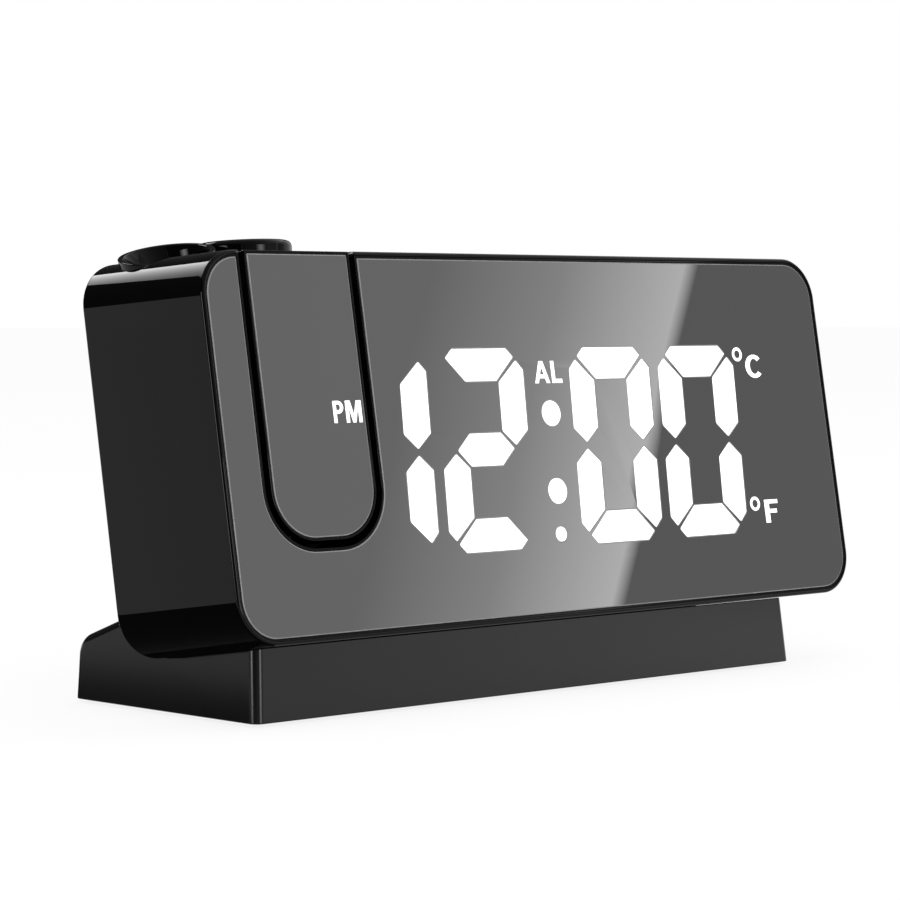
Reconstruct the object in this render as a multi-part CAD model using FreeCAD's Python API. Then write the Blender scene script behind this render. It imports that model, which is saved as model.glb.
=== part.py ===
import FreeCAD, Part
import math
import os
from FreeCAD import Vector

# A projection alarm clock: a wide mirror-faced housing that leans back on a
# wedge foot, with a projector arm that folds up out of a U-shaped well.
# Lengths are millimetres. Pieces of the housing are drawn with the face
# upright (x to the right, y into the depth, z up the face) and then leaned
# back by place(). The origin is the bottom centre of the whole object.

# Housing
housingWidth = 190.0
faceHeight = 80.5
housingDepth = 39.7
leanAngle = 10.0
topRise = 4.2          # how much higher the top is at the back
bottomRise = 1.2       # how much higher the underside is at the back
cornerRadius = 9.7
wallThickness = 1.8
frontRimWidth = 0.8
frontEdgeRadius = 0.7
rearEdgeRadius = 0.9
frontRise = 17.8       # height of the face's lower edge above the table

# Front frame, mirror and display
fitGap = 0.05
frameDepth = 3.2
mirrorInset = 1.4
mirrorThickness = 1.8
mirrorSetback = 0.15
displayMargin = 4.0
maskDepth = 4.4
boardThickness = 1.6
segmentHeight = 43.8
segmentWidth = 25.8
barThickness = 7.0
stemThickness = 7.5
segmentGap = 0.8
segmentChamfer = 2.0
segmentSlant = 3.2
stemFlankShare = 0.42   # how far down its point a stem's flank starts
stemShoulderShare = 0.85
barShoulderShare = 0.93
digitsBottom = 15.8
hoursLeft = 30.6
minutesLeft = 100.2
digitPitch = 29.1
colonDotRadius = 2.8
secondsDotRadius = 1.6
colonX = 94.0
colonLowZ = 27.9
colonHighZ = 45.1
secondsDotZ = 18.4
chipSize = 2.8
chipHeight = 0.8

# Projector arm and its well
armCentreX = 26.4
armHalfWidth = 14.2
armBottom = 20.5
armCornerRadius = 10.8
armThickness = 11.0
armRimWidth = 0.6
armGlassThickness = 1.2
armFloorThickness = 1.1
armWall = 1.4
armCoverThickness = 1.3
armNoseRise = 4.4
wellGap = 1.55
wellWall = 1.2
wellLip = 0.55       # frame that shows round the well
wellDepth = 14.0
hingeDrop = 5.9
hingePinRadius = 1.0
runningGap = 0.05
washerRadius = 3.2
barrelAxisDepth = 6.1
focusRingRadius = 3.5
focusRingLength = 3.1
ringStandoff = 0.3
ringLip = 0.6
barrelRadius = 2.9
barrelWall = 0.7
barrelLength = 16.0
lensThickness = 1.6
gripCount = 18
gripDepth = 0.25
slideRadius = 2.9
slideThickness = 1.2
lensBallShare = 2.2        # radius of the lens faces against the lens
lensRise = 1.0
condenserRim = 1.0
condenserBallShare = 1.3
holderHeight = 6.0
slideRise = 42.0
ledRise = 54.0

# Top controls
collarX = 13.5
collarRearInset = 13.7
collarRadius = 10.2
collarWall = 1.1
collarProud = 0.9
collarDepth = 6.5
collarTiltLeft = 12.0
collarTiltFront = 4.0
buttonGap = 0.2
buttonSink = 1.6
buttonThickness = 2.6
dishRadius = 24.0
buttonTravel = 1.0
switchHeight = 3.6
switchHalf = 3.0
knobX = 35.8
knobRearInset = 11.7
knobRadius = 10.3
knobHeight = 4.2
knobGap = 0.4
knobEdgeRadius = 1.4
knobShaftRadius = 3.0
knobShaftLength = 6.0
bushWall = 1.2
bushRoom = 0.3
shaftRoom = 0.2
dialBodyHalf = 6.0
dialBodyHeight = 6.5

# Rear side
keyCount = 5
keyEndInset = 13.4        # board left over beyond the outer keys
keyShare = 0.6            # width of a key against the keys' pitch
keyHeight = 4.5
keyProud = 1.0
keyTravel = 0.7
keyFlange = 1.0
keyFlangeThickness = 1.0
keyStem = 2.6
keySwitchHeight = 1.6
keySwitchHalf = 2.0
keyRowShift = -5.2        # from the middle of the board
keysZ = 66.0
mainBoardGap = 5.2
mainBoardLeft = 56.8
mainBoardRightInset = 46.4
mainBoardHeight = 53.0
mainBoardBottom = 22.0
usbGap = 1.8              # between the main board and the outlet
socketPitch = 16.0
socketsZ = 40.0
usbWidth = 13.2
usbHeight = 5.8
usbDepth = 14.0
tongueThickness = 1.8
socketPinSink = 2.0
socketBoardMargin = 1.0
powerWidth = 9.0
powerHeight = 6.0
powerDepth = 8.6
socketWall = 0.6
speakerX = 36.0
speakerZ = 46.0
speakerRadius = 13.0
speakerDepth = 5.0
speakerSlotCount = 7
speakerSlotWidth = 1.4
speakerSlotPitch = 3.2
speakerBackShare = 0.6
coneBackShare = 0.3
coneFrontShare = 0.9
coneDepthShare = 0.6
magnetShare = 0.45
magnetDepth = 2.5
batterySetback = 24.0     # from the outlet to the coin cell
batteryZ = 38.0
coinRadius = 10.0
coinThickness = 3.2
doorHalf = 13.5
doorThickness = 1.2
trayWall = 1.2
doorCornerRadius = 1.5
doorScrewInset = 1.0
doorGripHalf = 4.0
doorGripDepth = 0.5
doorGripRise = 1.2
doorGripWidth = 1.2
postRadius = 3.4
postInset = 10.5
lowPostRise = 22.0
screwRadius = 1.3
screwHeadRadius = 2.6
screwHeadHeight = 1.4
screwGap = 0.15
screwSlotWidth = 0.6
screwSlotDepth = 0.8

# Foot
footInset = 11.3
footFront = 9.7
footDepth = 61.2
footSideLean = 4.0
footFrontLean = 5.6
footRearWall = 13.0
footSlope = 19.0
footRearRadius = 5.0
footEdgeRadius = 2.2
footWall = 2.0
uprightEdgeLength = 4.0    # shorter edges of the foot stay sharp
uprightShare = 0.9
padRadius = 6.0
padProud = 0.8
padThickness = 2.0
padInset = 12.0
bottomPlateThickness = 2.0
plateRecess = 0.4
footPostRadius = 3.6
footScrewLength = 9.0
anchorScrewInset = 52.0
anchorY = 24.0

# Sizes that follow from the ones above
mainBoardWidth = housingWidth - mainBoardLeft - mainBoardRightInset
keyPitch = (mainBoardWidth - 2 * keyEndInset) / (keyCount - 1)
keyWidth = keyShare * keyPitch
keysX = mainBoardLeft + mainBoardWidth / 2 + keyRowShift
usbX = mainBoardLeft + mainBoardWidth + usbGap + usbWidth / 2
powerX = usbX + socketPitch
batteryX = usbX - batterySetback
collarY = housingDepth - collarRearInset
knobY = housingDepth - knobRearInset
hingeY = armThickness / 2
hingeZ = faceHeight - hingeDrop
maskFront = mirrorSetback + mirrorThickness
boardFront = maskFront + maskDepth
postBack = housingDepth - wallThickness - fitGap
armFront = mirrorSetback
armBack = armThickness
armTop = faceHeight - fitGap
armPlateBack = armFront + armGlassThickness + armFloorThickness
armHollowTop = hingeZ - hingePinRadius - 2 * armWall
noseBottom = armBottom + armNoseRise
ringLow = noseBottom - ringStandoff - focusRingLength
barrelLow = ringLow + ringLip + 2 * runningGap
doorScrewZ = batteryZ + doorHalf - screwRadius - doorScrewInset
bottomPlateTop = padProud + plateRecess + bottomPlateThickness

lean = math.radians(leanAngle)
frontExtreme = frontEdgeRadius * (math.cos(lean) + math.sin(lean) - 1)
rearExtreme = footFront + footDepth
originShift = (frontExtreme + rearExtreme) / 2


def fromLeft(distance):
    """Upright x of a point measured from the housing's left side."""
    return distance - housingWidth / 2


def postPlaces():
    """Upright (x, z) of the four case posts."""
    left = fromLeft(postInset + wallThickness)
    pastArm = fromLeft(armCentreX + armHalfWidth + wellGap + postInset)
    high = faceHeight - postInset
    return [(left, lowPostRise), (-left, lowPostRise), (pastArm, high), (-left, high)]


def place(shape):
    """Lean an upright shape back and set it on the foot."""
    leaned = shape.copy()
    leaned.rotate(Vector(0, 0, 0), Vector(1, 0, 0), -leanAngle)
    leaned.translate(Vector(0, -originShift, frontRise))
    return leaned


def roundedWire(x0, x1, z0, z1, radius, y):
    """Closed rounded rectangle in the plane of constant y."""
    s = radius * (1 - math.sqrt(0.5))
    corners = [
        (x0 + s, z0 + s, x0, z0 + radius, x0 + radius, z0),
        (x1 - s, z0 + s, x1 - radius, z0, x1, z0 + radius),
        (x1 - s, z1 - s, x1, z1 - radius, x1 - radius, z1),
        (x0 + s, z1 - s, x0 + radius, z1, x0, z1 - radius),
    ]
    edges = []
    previous = Vector(x0, y, z1 - radius)
    for mx, mz, ax, az, bx, bz in corners:
        start = Vector(ax, y, az)
        end = Vector(bx, y, bz)
        edges.append(Part.LineSegment(previous, start).toShape())
        edges.append(Part.Arc(start, Vector(mx, y, mz), end).toShape())
        previous = end
    return Part.Wire(edges)


def plate(wire, depth):
    """Solid made by pushing a closed wire straight back."""
    return Part.Face(wire).extrude(Vector(0, depth, 0))


def polygonPlate(points, y, depth):
    """Solid made from (x, z) points pushed back from y."""
    corners = [Vector(x, y, z) for x, z in points]
    return Part.Face(Part.makePolygon(corners + corners[:1])).extrude(Vector(0, depth, 0))


def block(x0, x1, y0, y1, z0, z1):
    return Part.makeBox(x1 - x0, y1 - y0, z1 - z0, Vector(x0, y0, z0))


def rod(radius, start, direction, length):
    return Part.makeCylinder(radius, length, start, direction)


def housingWire(inset, y):
    """Housing outline at depth y, drawn in by inset."""
    share = y / housingDepth
    half = housingWidth / 2 - inset
    low = bottomRise * share + inset
    high = faceHeight + topRise * share - inset
    return roundedWire(-half, half, low, high, cornerRadius - inset, y)


def housingLoft(inset, y0, y1):
    return Part.makeLoft([housingWire(inset, y0), housingWire(inset, y1)], True, True)


def topAt(y):
    return faceHeight + topRise * y / housingDepth


def wellWire(grow, y, top):
    """U outline of the arm grown by a margin and open past the top."""
    x = fromLeft(armCentreX)
    half = armHalfWidth + grow
    radius = armCornerRadius + grow
    low = armBottom - grow
    s = radius * (1 - math.sqrt(0.5))
    a = Vector(x - half, y, top)
    b = Vector(x - half, y, low + radius)
    c = Vector(x - half + radius, y, low)
    d = Vector(x + half - radius, y, low)
    e = Vector(x + half, y, low + radius)
    f = Vector(x + half, y, top)
    left = Vector(x - half + s, y, low + s)
    right = Vector(x + half - s, y, low + s)
    return Part.Wire([
        Part.LineSegment(a, b).toShape(),
        Part.Arc(b, left, c).toShape(),
        Part.LineSegment(c, d).toShape(),
        Part.Arc(d, right, e).toShape(),
        Part.LineSegment(e, f).toShape(),
        Part.LineSegment(f, a).toShape(),
    ])


def wellBlock(grow, y0, y1, top):
    return plate(wellWire(grow, y0, top), y1 - y0)


def frontEdges(solid, y):
    """Edges of a solid that lie flat in the plane of constant y."""
    found = []
    for edge in solid.Edges:
        box = edge.BoundBox
        if abs(box.YMin - y) < 0.001 and abs(box.YMax - y) < 0.001:
            found.append(edge)
    return found


def keyPlaces():
    first = fromLeft(keysX) - keyPitch * (keyCount - 1) / 2
    return [first + keyPitch * i for i in range(keyCount)]


def collarAxis():
    left = math.radians(collarTiltLeft)
    front = math.radians(collarTiltFront)
    return Vector(-math.sin(left), -math.sin(front), math.cos(left) * math.cos(front)).normalize()


def collarCentre():
    drop = collarRadius * math.sin(math.radians(collarTiltLeft)) / 2
    return Vector(fromLeft(collarX), collarY, topAt(collarY) - drop)


def knobAxis():
    rise = math.atan2(topRise, housingDepth)
    return Vector(0, -math.sin(rise), math.cos(rise))


def knobSeat():
    return Vector(fromLeft(knobX), knobY, topAt(knobY))


def socketBox(centre, width, height, grow, y0, y1):
    x = fromLeft(centre)
    return block(x - width / 2 - grow, x + width / 2 + grow, y0, y1,
                 socketsZ - height / 2 - grow, socketsZ + height / 2 + grow)


def speakerSlots():
    slots = []
    for i in range(speakerSlotCount):
        offset = (i - (speakerSlotCount - 1) / 2) * speakerSlotPitch
        half = math.sqrt((speakerRadius - speakerSlotWidth) ** 2 - offset ** 2)
        z = speakerZ + offset
        x = fromLeft(speakerX)
        slots.append(block(x - half, x + half, housingDepth - 2 * wallThickness,
                           housingDepth + wallThickness, z - speakerSlotWidth / 2, z + speakerSlotWidth / 2))
    return slots


def batteryTrayShape():
    """Round coin cell tray that hangs from the rear wall, open at the back."""
    x = fromLeft(batteryX)
    rear = housingDepth - wallThickness
    front = rear - coinThickness - trayWall
    room = coinRadius + buttonGap
    back = Vector(0, 1, 0)
    outer = rod(room + trayWall, Vector(x, front, batteryZ), back, rear - front)
    bore = rod(room, Vector(x, front + trayWall, batteryZ), back, housingDepth)
    return outer, bore


def housingShell():
    outer = housingLoft(0, 0, housingDepth)
    outer = outer.makeFillet(frontEdgeRadius, frontEdges(outer, 0))
    outer = outer.makeFillet(rearEdgeRadius, frontEdges(outer, housingDepth))
    shell = outer.cut(housingLoft(wallThickness, 0, housingDepth - wallThickness))
    shell = shell.cut(housingLoft(frontRimWidth, -frameDepth, frameDepth))
    top = topAt(housingDepth) + wallThickness
    notch = wellBlock(wellGap, -frameDepth, wellDepth, top)
    cuts = [notch.common(block(-housingWidth, housingWidth, -frameDepth, housingDepth,
                               faceHeight - cornerRadius, top))]
    cuts.append(rod(collarRadius - collarWall, collarCentre() - collarAxis() * collarDepth,
                    collarAxis(), 3 * collarDepth))
    seat = rod(collarRadius, collarCentre() - collarAxis() * collarWall, collarAxis(), 3 * collarDepth)
    cuts.append(seat)
    cuts.append(rod(knobShaftRadius + bushWall, knobSeat() - knobAxis() * 2 * wallThickness,
                    knobAxis(), 4 * wallThickness))
    rearIn = housingDepth - 2 * wallThickness
    rearOut = housingDepth + wallThickness
    for x in keyPlaces():
        cuts.append(block(x - keyWidth / 2 - buttonGap, x + keyWidth / 2 + buttonGap, rearIn, rearOut,
                          keysZ - keyHeight / 2 - buttonGap, keysZ + keyHeight / 2 + buttonGap))
    cuts.append(socketBox(usbX, usbWidth, usbHeight, 0, rearIn, rearOut))
    cuts.append(socketBox(powerX, powerWidth, powerHeight, 0, rearIn, rearOut))
    cuts += speakerSlots()
    x = fromLeft(batteryX)
    cuts.append(block(x - doorHalf, x + doorHalf, housingDepth - doorThickness, rearOut,
                      batteryZ - doorHalf, batteryZ + doorHalf))
    tray, bore = batteryTrayShape()
    shell = shell.fuse(tray)
    cuts.append(bore)
    for px, pz in postPlaces():
        cuts.append(rod(screwRadius, Vector(px, rearIn, pz), Vector(0, 1, 0), 4 * wallThickness))
        cuts.append(rod(screwHeadRadius + fitGap, Vector(px, housingDepth - screwHeadHeight, pz),
                        Vector(0, 1, 0), wallThickness))
    for px in anchorPlaces():
        cuts.append(rod(screwRadius, Vector(px, anchorY, -wallThickness), Vector(0, 0, 1), 4 * wallThickness))
    shell = shell.cut(cuts)
    return shell.removeSplitter()


def anchorPlaces():
    return [fromLeft(anchorScrewInset), 0.0, -fromLeft(anchorScrewInset)]


def frontFrame():
    body = housingLoft(frontRimWidth + fitGap, mirrorSetback, frameDepth)
    body = body.cut(housingLoft(mirrorInset - fitGap, -mirrorThickness, mirrorSetback + mirrorThickness))
    x0, x1, z0, z1 = maskLimits(0)
    window = roundedWire(x0, x1, z0, z1, displayMargin / 2, -frameDepth)
    body = body.cut(plate(window, 3 * frameDepth))
    tubTop = faceHeight - frontRimWidth - fitGap
    lip = wellBlock(wellGap + wellLip, mirrorSetback, frameDepth, tubTop)
    tub = wellBlock(wellGap + wellWall, maskFront, wellDepth + wellWall, tubTop)
    inside = housingLoft(wallThickness + fitGap, -frameDepth, housingDepth)
    body = body.fuse([lip.common(housingLoft(frontRimWidth + fitGap, mirrorSetback, frameDepth)),
                      tub.common(inside)])
    body = body.cut(wellBlock(wellGap, -frameDepth, wellDepth, topAt(housingDepth) + wellWall))
    posts = []
    for x, z in postPlaces():
        posts.append(rod(postRadius, Vector(x, frameDepth - fitGap, z), Vector(0, 1, 0),
                         postBack - frameDepth + fitGap))
    body = body.fuse(posts)
    bores = [rod(screwRadius, Vector(x, postBack - 3 * screwHeadRadius, z), Vector(0, 1, 0), housingDepth)
             for x, z in postPlaces()]
    pinBore = rod(hingePinRadius, Vector(-housingWidth / 2, hingeY, hingeZ), Vector(1, 0, 0),
                  housingWidth / 2)
    reach = wellGap + wellWall + armHalfWidth
    limits = block(fromLeft(armCentreX) - reach, fromLeft(armCentreX) + reach, 0, wellDepth, 0, faceHeight)
    return body.cut(bores + [pinBore.common(limits)]).removeSplitter()


def mirrorPanel():
    body = housingLoft(mirrorInset, mirrorSetback, mirrorSetback + mirrorThickness)
    notch = wellBlock(wellGap + wellLip + fitGap, -frameDepth, 2 * frameDepth, 2 * faceHeight)
    return body.cut([notch] + windowSolids(mirrorSetback, mirrorThickness))


# Display

def slanted(points, left):
    slant = math.tan(math.radians(segmentSlant))
    return [(left + x + z * slant, digitsBottom + z) for x, z in points]


def sideBar():
    """Upper left stem of a seven-bar digit, with its pointed lower end."""
    middle = segmentHeight / 2
    t = stemThickness
    low = middle + segmentGap + t * stemFlankShare
    high = segmentHeight - barThickness - segmentGap / 2
    shoulder = high + (t - segmentChamfer) * stemShoulderShare
    return [(0, low), (t / 2, middle + segmentGap), (t, low), (t, high), (segmentChamfer, shoulder),
            (0, shoulder - segmentChamfer)]


def topBar():
    t = stemThickness + segmentGap
    low = segmentHeight - barThickness
    shoulder = low + (stemThickness - segmentChamfer) * barShoulderShare
    c = segmentChamfer + segmentGap
    w = segmentWidth
    return [(t, low), (w - t, low), (w - c, shoulder), (w - c - segmentChamfer, segmentHeight),
            (c + segmentChamfer, segmentHeight), (c, shoulder)]


def middleBar():
    middle = segmentHeight / 2
    half = barThickness / 2
    tip = stemThickness / 2 + segmentGap
    inner = stemThickness + segmentGap
    w = segmentWidth
    return [(tip, middle), (inner, middle + half), (w - inner, middle + half), (w - tip, middle),
            (w - inner, middle - half), (inner, middle - half)]


def mirrorX(points):
    return [(segmentWidth - x, z) for x, z in points]


def mirrorZ(points):
    return [(x, segmentHeight - z) for x, z in points]


bars = {
    "top": topBar(),
    "upperLeft": sideBar(),
    "upperRight": mirrorX(sideBar()),
    "middle": middleBar(),
    "lowerLeft": mirrorZ(sideBar()),
    "lowerRight": mirrorZ(mirrorX(sideBar())),
    "bottom": mirrorZ(topBar()),
}
digitBars = {
    "one": ["upperRight", "lowerRight"],
    "two": ["top", "upperRight", "middle", "lowerLeft", "bottom"],
    "zero": ["top", "upperLeft", "upperRight", "lowerLeft", "lowerRight", "bottom"],
}
shownDigits = [
    ("one", hoursLeft),
    ("two", hoursLeft + digitPitch),
    ("zero", minutesLeft),
    ("zero", minutesLeft + digitPitch),
]


def dotPlaces():
    slant = math.tan(math.radians(segmentSlant))
    spots = [(colonHighZ, colonDotRadius), (colonLowZ, colonDotRadius), (secondsDotZ, secondsDotRadius)]
    return [(fromLeft(colonX + (z - colonLowZ) * slant), z, radius) for z, radius in spots]


def barOutlines():
    outlines = []
    for digit, left in shownDigits:
        for name in digitBars[digit]:
            outlines.append(slanted(bars[name], fromLeft(left)))
    return outlines


def windowSolids(y, depth):
    solids = [polygonPlate(points, y, depth) for points in barOutlines()]
    for x, z, radius in dotPlaces():
        solids.append(rod(radius, Vector(x, y, z), Vector(0, 1, 0), depth))
    return solids


def maskLimits(inset):
    """Left, right, low and high limits of the display, drawn in by inset."""
    return (fromLeft(hoursLeft + segmentWidth - stemThickness - displayMargin) + inset,
            fromLeft(minutesLeft + digitPitch + segmentWidth + displayMargin) - inset,
            digitsBottom - displayMargin + inset,
            digitsBottom + segmentHeight + displayMargin - inset)


def lightMask():
    x0, x1, z0, z1 = maskLimits(fitGap)
    body = plate(roundedWire(x0, x1, z0, z1, displayMargin / 2, maskFront), maskDepth)
    return body.cut(windowSolids(maskFront - fitGap, maskDepth + 2 * fitGap))


def displayBoard():
    x0, x1, z0, z1 = maskLimits(fitGap)
    return block(x0, x1, boardFront, boardFront + boardThickness, z0, z1)


def ledChips():
    chips = []
    half = chipSize / 2
    for points in barOutlines():
        x = sum(p[0] for p in points) / len(points)
        z = sum(p[1] for p in points) / len(points)
        chips.append(block(x - half, x + half, boardFront - chipHeight, boardFront, z - half, z + half))
    for x, z, radius in dotPlaces():
        half = radius / 2
        chips.append(block(x - half, x + half, boardFront - chipHeight, boardFront, z - half, z + half))
    return Part.makeCompound(chips)


# Projector arm

def armHousing():
    plateBack = armPlateBack
    front = wellBlock(0, armFront, plateBack, armTop)
    top = armTop
    body = plate(wellWire(0, plateBack - fitGap, top), armBack - plateBack + fitGap)
    cutLow = block(-housingWidth, housingWidth, plateBack, armBack + 1, 0, noseBottom)
    arm = front.fuse(body.cut(cutLow))
    rounding = armBack - hingeY
    corner = block(-housingWidth, housingWidth, hingeY, armBack + 1, hingeZ, armTop + 1)
    knuckle = rod(rounding, Vector(-housingWidth, hingeY, hingeZ), Vector(1, 0, 0), 2 * housingWidth)
    arm = arm.cut(corner.cut(knuckle))
    glassBed = wellBlock(-armRimWidth, armFront - 1, armFront + armGlassThickness, armTop - armRimWidth)
    hollowTop = hingeZ - hingePinRadius - 2 * armWall
    hollowShape = wellBlock(-armWall, plateBack, armBack + 1, hollowTop)
    above = block(-housingWidth, housingWidth, 0, armBack + 1, noseBottom + armWall, hollowTop)
    arm = arm.cut([glassBed, hollowShape.common(above)])
    x = fromLeft(armCentreX)
    arm = arm.cut(rod(hingePinRadius + runningGap, Vector(x - armHalfWidth - 1, hingeY, hingeZ),
                      Vector(1, 0, 0), 2 * armHalfWidth + 2))
    arm = arm.cut(rod(barrelRadius, Vector(x, barrelAxisDepth, noseBottom - 1), Vector(0, 0, 1),
                      armWall + 2))
    for spot in armScrewPlaces():
        boss = rod(screwRadius + armWall / 2, Vector(spot[0], plateBack, spot[1]), Vector(0, 1, 0),
                   armBack - armCoverThickness - plateBack)
        arm = arm.fuse(boss)
        arm = arm.cut(rod(screwRadius / 2, Vector(spot[0], plateBack + 1, spot[1]), Vector(0, 1, 0),
                          armBack))
    return arm.removeSplitter()


def armScrewPlaces():
    x = fromLeft(armCentreX)
    side = armHalfWidth - armWall - screwHeadRadius
    high = hingeZ - hingePinRadius - 3 * armWall - screwHeadRadius
    low = armBottom + armCornerRadius
    return [(x - side, high), (x + side, high), (x - side, low), (x + side, low)]


def armGlass():
    grow = -armRimWidth - fitGap
    top = armTop - armRimWidth - fitGap
    return wellBlock(grow, armFront, armFront + armGlassThickness - fitGap, top)


def armCover():
    hollowTop = hingeZ - hingePinRadius - 2 * armWall - fitGap
    back = wellBlock(-armWall - fitGap, armBack - armCoverThickness, armBack, hollowTop)
    back = back.common(block(-housingWidth, housingWidth, 0, armBack + 1,
                             noseBottom + armWall + fitGap, hollowTop))
    holes = []
    for x, z in armScrewPlaces():
        holes.append(rod(screwRadius / 2 + runningGap, Vector(x, 0, z), Vector(0, 1, 0), 2 * armBack))
        holes.append(Part.makeCone(screwRadius / 2, screwRadius, armCoverThickness / 2,
                                   Vector(x, armBack - armCoverThickness / 2, z), Vector(0, 1, 0)))
    return back.cut(holes)


def armScrews():
    screws = []
    length = armThickness / 2
    for x, z in armScrewPlaces():
        shank = rod(screwRadius / 2, Vector(x, armBack - length, z), Vector(0, 1, 0), length)
        head = Part.makeCone(screwRadius / 2, screwRadius, armCoverThickness / 2,
                             Vector(x, armBack - armCoverThickness / 2, z), Vector(0, 1, 0))
        screws.append(shank.fuse(head))
    return Part.makeCompound(screws)


def lensBarrel():
    x = fromLeft(armCentreX)
    start = Vector(x, barrelAxisDepth, barrelLow)
    up = Vector(0, 0, 1)
    tube = rod(barrelRadius, start, up, barrelLength)
    return tube.cut(rod(barrelRadius - barrelWall, start - up, up, 2 * barrelLength))


def focusRing():
    """Gripped ring that turns on the nose of the barrel and carries the lens."""
    x = fromLeft(armCentreX)
    start = Vector(x, barrelAxisDepth, ringLow)
    ring = rod(focusRingRadius, start, Vector(0, 0, 1), focusRingLength)
    up = Vector(0, 0, 1)
    ring = ring.cut(rod(barrelRadius + runningGap, start + up * ringLip, up, 2 * focusRingLength))
    ring = ring.cut(rod(barrelRadius - barrelWall, start - up, up, 2 * focusRingLength))
    grooves = []
    for i in range(gripCount):
        angle = 2 * math.pi * i / gripCount
        spot = start + Vector(math.cos(angle), math.sin(angle), 0) * (focusRingRadius + gripDepth)
        grooves.append(rod(2 * gripDepth, spot, Vector(0, 0, 1), focusRingLength))
    return ring.cut(grooves)


def projectionLens():
    """Biconvex lens held inside the barrel, just above the ring."""
    x = fromLeft(armCentreX)
    radius = barrelRadius - barrelWall
    low = barrelLow + lensRise
    ball = lensBallShare * radius
    sink = math.sqrt(ball ** 2 - radius ** 2)
    centre = low + lensThickness / 2
    lower = Part.makeSphere(ball, Vector(x, barrelAxisDepth, centre + sink))
    upper = Part.makeSphere(ball, Vector(x, barrelAxisDepth, centre - sink))
    core = rod(radius, Vector(x, barrelAxisDepth, centre - lensThickness), Vector(0, 0, 1), 2 * lensThickness)
    rim = rod(radius, Vector(x, barrelAxisDepth, centre - lensThickness / 4), Vector(0, 0, 1),
              lensThickness / 2)
    return core.common(lower).common(upper).fuse(rim).removeSplitter()


def slideHolder():
    """Clip across the arm that carries the number slide and the condenser."""
    x = fromLeft(armCentreX)
    half = armHalfWidth - armWall
    holder = block(x - half, x + half, armPlateBack, armBack - armCoverThickness,
                   slideRise, slideRise + holderHeight)
    axis = Vector(x, barrelAxisDepth, slideRise - 1)
    return holder.cut(rod(slideRadius, axis, Vector(0, 0, 1), 2 * holderHeight))


def numberSlide():
    x = fromLeft(armCentreX)
    return rod(slideRadius, Vector(x, barrelAxisDepth, slideRise), Vector(0, 0, 1), slideThickness)


def condenserLens():
    x = fromLeft(armCentreX)
    centre = Vector(x, barrelAxisDepth, slideRise + holderHeight / 2)
    rim = rod(slideRadius, centre, Vector(0, 0, 1), condenserRim)
    condenserSink = slideRadius * math.sqrt(condenserBallShare ** 2 - 1)
    ball = Part.makeSphere(condenserBallShare * slideRadius,
                           centre + Vector(0, 0, condenserRim - condenserSink))
    dome = ball.common(rod(slideRadius, centre, Vector(0, 0, 1), 4 * slideRadius))
    return rim.fuse(dome).removeSplitter()


def projectorLed():
    x = fromLeft(armCentreX)
    half = armHalfWidth - armWall - screwHeadRadius
    board = block(x - half, x + half, armPlateBack, armBack - armCoverThickness,
                  ledRise, ledRise + boardThickness)
    lamp = rod(chipSize, Vector(x, barrelAxisDepth, ledRise - chipHeight), Vector(0, 0, 1), chipHeight)
    dome = Part.makeSphere(chipSize / 2, Vector(x, barrelAxisDepth, ledRise - chipHeight))
    return board.fuse([lamp, dome]).removeSplitter()


def hingePin():
    reach = wellGap + wellWall + armHalfWidth
    return rod(hingePinRadius, Vector(fromLeft(armCentreX) - reach, hingeY, hingeZ), Vector(1, 0, 0),
               2 * reach)


def hingeWashers():
    x = fromLeft(armCentreX)
    washers = []
    for side in (-1, 1):
        inner = x + side * (armHalfWidth + runningGap)
        outer = x + side * (armHalfWidth + wellGap)
        low = min(inner, outer)
        ring = rod(washerRadius, Vector(low, hingeY, hingeZ), Vector(1, 0, 0), abs(outer - inner))
        bore = rod(hingePinRadius, Vector(low - 1, hingeY, hingeZ), Vector(1, 0, 0), 4 * wellGap)
        washers.append(ring.cut(bore))
    return Part.makeCompound(washers)


# Top controls

def buttonCollar():
    axis = collarAxis()
    centre = collarCentre()
    rim = rod(collarRadius, centre - axis * collarWall, axis, collarWall + collarProud)
    upper = [e for e in rim.Edges if onPlane(e, centre + axis * collarProud, axis)]
    rim = rim.makeFillet(collarWall / 3, upper)
    sleeve = rod(collarRadius - collarWall, centre - axis * collarDepth, axis, collarDepth)
    return rim.fuse(sleeve).cut(rod(buttonRadius() + buttonGap, centre - axis * 2 * collarDepth,
                                    axis, 4 * collarDepth)).removeSplitter()


def onPlane(edge, point, normal):
    return all(abs((v.Point - point).dot(normal)) < 0.001 for v in edge.Vertexes)


def buttonRadius():
    return collarRadius - 2 * collarWall - buttonGap


def snoozeButton():
    """Round cap with a dished top that sits sunk in its collar."""
    axis = collarAxis()
    top = collarCentre() + axis * (collarProud - buttonSink)
    cap = rod(buttonRadius(), top - axis * buttonThickness, axis, buttonThickness)
    depth = dishRadius - math.sqrt(dishRadius ** 2 - (buttonRadius() - collarWall) ** 2)
    cap = cap.cut(Part.makeSphere(dishRadius, top + axis * (dishRadius - depth)))
    stem = rod(screwRadius, top - axis * (collarDepth - buttonSink), axis, collarDepth - buttonSink - depth)
    return cap.fuse(stem).removeSplitter()


def switchTop():
    return collarCentre() + collarAxis() * (collarProud - collarDepth - buttonTravel - buttonGap)


def snoozeSwitch():
    """Push switch on its small board, under the button's stem."""
    axis = collarAxis()
    base = switchTop() - axis * switchHeight
    switch = rod(switchHalf, base, axis, switchHeight)
    board = rod(collarRadius - collarWall, base - axis * boardThickness, axis, boardThickness)
    return switch.fuse(board).removeSplitter()


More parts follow.
